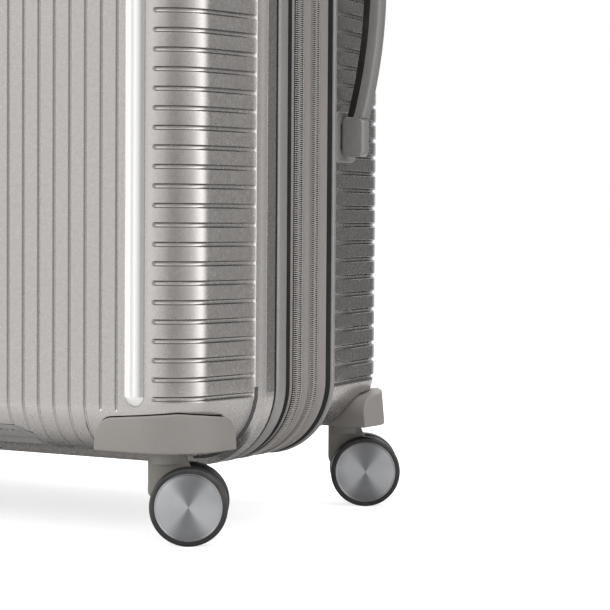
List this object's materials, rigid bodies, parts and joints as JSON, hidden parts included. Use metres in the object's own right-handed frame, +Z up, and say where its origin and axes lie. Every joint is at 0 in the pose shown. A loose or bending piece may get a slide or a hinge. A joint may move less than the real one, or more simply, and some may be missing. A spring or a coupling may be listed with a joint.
{
  "type": "hard shell suitcase",
  "caption": "Expandable hard shell suitcase with ribbed corners, zipped lid, trolley handle, carry handles, combination lock and twin wheel casters.",
  "frame": {"origin": "on the floor, in the middle of the four swivel axes", "axes": "+Z up, +X to the right of the case, the front face towards -Y"},
  "size_m": [0.4845, 0.2967, 0.7145],
  "materials": {
    "shell": "satin metallic, fine grain",
    "trim": "satin",
    "housing": "matte",
    "zip": "woven",
    "cloth": "woven",
    "hard_black": "matte",
    "grip": "soft",
    "fork": "matte",
    "wheel_face": "spun",
    "tyre": "matte",
    "tube": "anodised",
    "lock": "satin",
    "bright": "polished",
    "screw": "zinc plated"
  },
  "bodies": {
    "rear_half": {"rear_shell": "shell", "rear_rim": "trim", "rear_zip": "zip", "rear_lining": "cloth", "trolley_outer_tubes": "tube", "trolley_cup": "trim", "trolley_foot": "hard_black", "trolley_cover": "hard_black", "side_handle_seats": "trim", "top_handle_seats": "trim", "packing_straps": "cloth", "strap_buckle": "hard_black", "expansion_gusset": "cloth", "housing_rear_right": "housing", "housing_rear_left": "housing", "rear_housing_screws": "screw"},
    "mid_band": {"mid_frame": "trim", "mid_zip": "zip", "hinge_strip": "cloth"},
    "front_half": {"front_shell": "shell", "front_piping": "trim", "front_zip": "zip", "front_lining": "cloth", "bottom_grip": "trim", "lock_case": "lock", "housing_front_right": "housing", "housing_front_left": "housing", "front_housing_screws": "screw"},
    "lock_dial_lower": {"lock_dial_lower": "hard_black"},
    "lock_dial_middle": {"lock_dial_middle": "hard_black"},
    "lock_dial_upper": {"lock_dial_upper": "hard_black"},
    "lock_button": {"lock_button": "lock"},
    "lock_key_cylinder": {"lock_key_cylinder": "bright"},
    "upper_slider": {"upper_slider": "bright"},
    "upper_pull": {"upper_pull": "bright"},
    "lower_slider": {"lower_slider": "bright"},
    "lower_pull": {"lower_pull": "bright"},
    "expansion_slider": {"expansion_slider": "bright"},
    "expansion_pull": {"expansion_pull": "bright"},
    "side_handle": {"side_handle": "trim", "side_handle_grip": "grip"},
    "top_handle": {"top_handle": "trim", "top_handle_grip": "grip"},
    "trolley_middle": {"trolley_middle_tubes": "tube"},
    "trolley_inner": {"trolley_inner_tubes": "tube", "trolley_bar": "grip"},
    "trolley_button": {"trolley_button": "hard_black"},
    "fork_front_right": {"fork_front_right": "fork"},
    "wheels_front_right": {"wheels_front_right": "wheel_face", "tyres_front_right": "tyre"},
    "fork_front_left": {"fork_front_left": "fork"},
    "wheels_front_left": {"wheels_front_left": "wheel_face", "tyres_front_left": "tyre"},
    "fork_rear_right": {"fork_rear_right": "fork"},
    "wheels_rear_right": {"wheels_rear_right": "wheel_face", "tyres_rear_right": "tyre"},
    "fork_rear_left": {"fork_rear_left": "fork"},
    "wheels_rear_left": {"wheels_rear_left": "wheel_face", "tyres_rear_left": "tyre"}
  },
  "joints": [
    {"name": "expansion", "type": "slide", "parent": "rear_half", "child": "mid_band", "axis": [0, -1, 0], "range_m": [0, 0.03], "deforming": ["expansion_gusset"]},
    {"name": "lid", "type": "hinge", "parent": "mid_band", "child": "front_half", "pos_m": [-0.2306, -0.021, 0], "axis": [0, 0, -1], "range_deg": [0, 180], "deforming": ["hinge_strip"]},
    {"name": "dial_lower_turn", "type": "hinge", "parent": "front_half", "child": "lock_dial_lower", "pos_m": [0.2256, -0.074, 0.454], "axis": [0, 0, 1], "continuous": true},
    {"name": "dial_middle_turn", "type": "hinge", "parent": "front_half", "child": "lock_dial_middle", "pos_m": [0.2256, -0.074, 0.454], "axis": [0, 0, 1], "continuous": true},
    {"name": "dial_upper_turn", "type": "hinge", "parent": "front_half", "child": "lock_dial_upper", "pos_m": [0.2256, -0.074, 0.454], "axis": [0, 0, 1], "continuous": true},
    {"name": "lock_button_press", "type": "slide", "parent": "front_half", "child": "lock_button", "axis": [-1, 0, 0], "range_m": [0, 0.001], "stiffness_N_per_m": 900},
    {"name": "key_turn", "type": "hinge", "parent": "front_half", "child": "lock_key_cylinder", "pos_m": [0.23, -0.088, 0.488], "axis": [1, 0, 0], "range_deg": [0, 90]},
    {"name": "upper_run", "type": "slide", "parent": "mid_band", "child": "upper_slider", "axis": [0, 0, 1], "range_m": [0, 0.12]},
    {"name": "upper_pull_swing", "type": "hinge", "parent": "upper_slider", "child": "upper_pull", "pos_m": [0.2363, -0.021, 0.505], "axis": [0, -1, 0], "range_deg": [0, 165]},
    {"name": "lower_run", "type": "slide", "parent": "mid_band", "child": "lower_slider", "axis": [0, 0, -1], "range_m": [0, 0.3]},
    {"name": "lower_pull_swing", "type": "hinge", "parent": "lower_slider", "child": "lower_pull", "pos_m": [0.2363, -0.021, 0.44], "axis": [0, -1, 0], "range_deg": [0, 165]},
    {"name": "expansion_run", "type": "slide", "parent": "rear_half", "child": "expansion_slider", "axis": [0, 0, -1], "range_m": [0, 0.4]},
    {"name": "expansion_pull_swing", "type": "hinge", "parent": "expansion_slider", "child": "expansion_pull", "pos_m": [0.2363, 0.0012, 0.56], "axis": [0, -1, 0], "range_deg": [0, 165]},
    {"name": "side_handle_pull", "type": "slide", "parent": "rear_half", "child": "side_handle", "axis": [1, 0, 0], "range_m": [0, 0.006], "stiffness_N_per_m": 400},
    {"name": "top_handle_pull", "type": "slide", "parent": "rear_half", "child": "top_handle", "axis": [0, 0, 1], "range_m": [0, 0.006], "stiffness_N_per_m": 400},
    {"name": "trolley_lower_stage", "type": "slide", "parent": "rear_half", "child": "trolley_middle", "axis": [0, 0, 1], "range_m": [0, 0.2]},
    {"name": "trolley_upper_stage", "type": "slide", "parent": "trolley_middle", "child": "trolley_inner", "axis": [0, 0, 1], "range_m": [0, 0.2]},
    {"name": "trolley_button_press", "type": "slide", "parent": "trolley_inner", "child": "trolley_button", "axis": [0, 0, -1], "range_m": [0, 0.0014], "stiffness_N_per_m": 700},
    {"name": "swivel_front_right", "type": "hinge", "parent": "front_half", "child": "fork_front_right", "pos_m": [0.188, -0.1155, 0.05], "axis": [0, 0, 1], "continuous": true},
    {"name": "roll_front_right", "type": "hinge", "parent": "fork_front_right", "child": "wheels_front_right", "pos_m": [0.20103, -0.10767, 0.025], "axis": [0.515, -0.8572, 0], "continuous": true},
    {"name": "swivel_front_left", "type": "hinge", "parent": "front_half", "child": "fork_front_left", "pos_m": [-0.188, -0.1155, 0.05], "axis": [0, 0, 1], "continuous": true},
    {"name": "roll_front_left", "type": "hinge", "parent": "fork_front_left", "child": "wheels_front_left", "pos_m": [-0.17497, -0.10767, 0.025], "axis": [0.515, -0.8572, 0], "continuous": true},
    {"name": "swivel_rear_right", "type": "hinge", "parent": "rear_half", "child": "fork_rear_right", "pos_m": [0.188, 0.1155, 0.05], "axis": [0, 0, 1], "continuous": true},
    {"name": "roll_rear_right", "type": "hinge", "parent": "fork_rear_right", "child": "wheels_rear_right", "pos_m": [0.20103, 0.12333, 0.025], "axis": [0.515, -0.8572, 0], "continuous": true},
    {"name": "swivel_rear_left", "type": "hinge", "parent": "rear_half", "child": "fork_rear_left", "pos_m": [-0.188, 0.1155, 0.05], "axis": [0, 0, 1], "continuous": true},
    {"name": "roll_rear_left", "type": "hinge", "parent": "fork_rear_left", "child": "wheels_rear_left", "pos_m": [-0.17497, 0.12333, 0.025], "axis": [0.515, -0.8572, 0], "continuous": true}
  ]
}
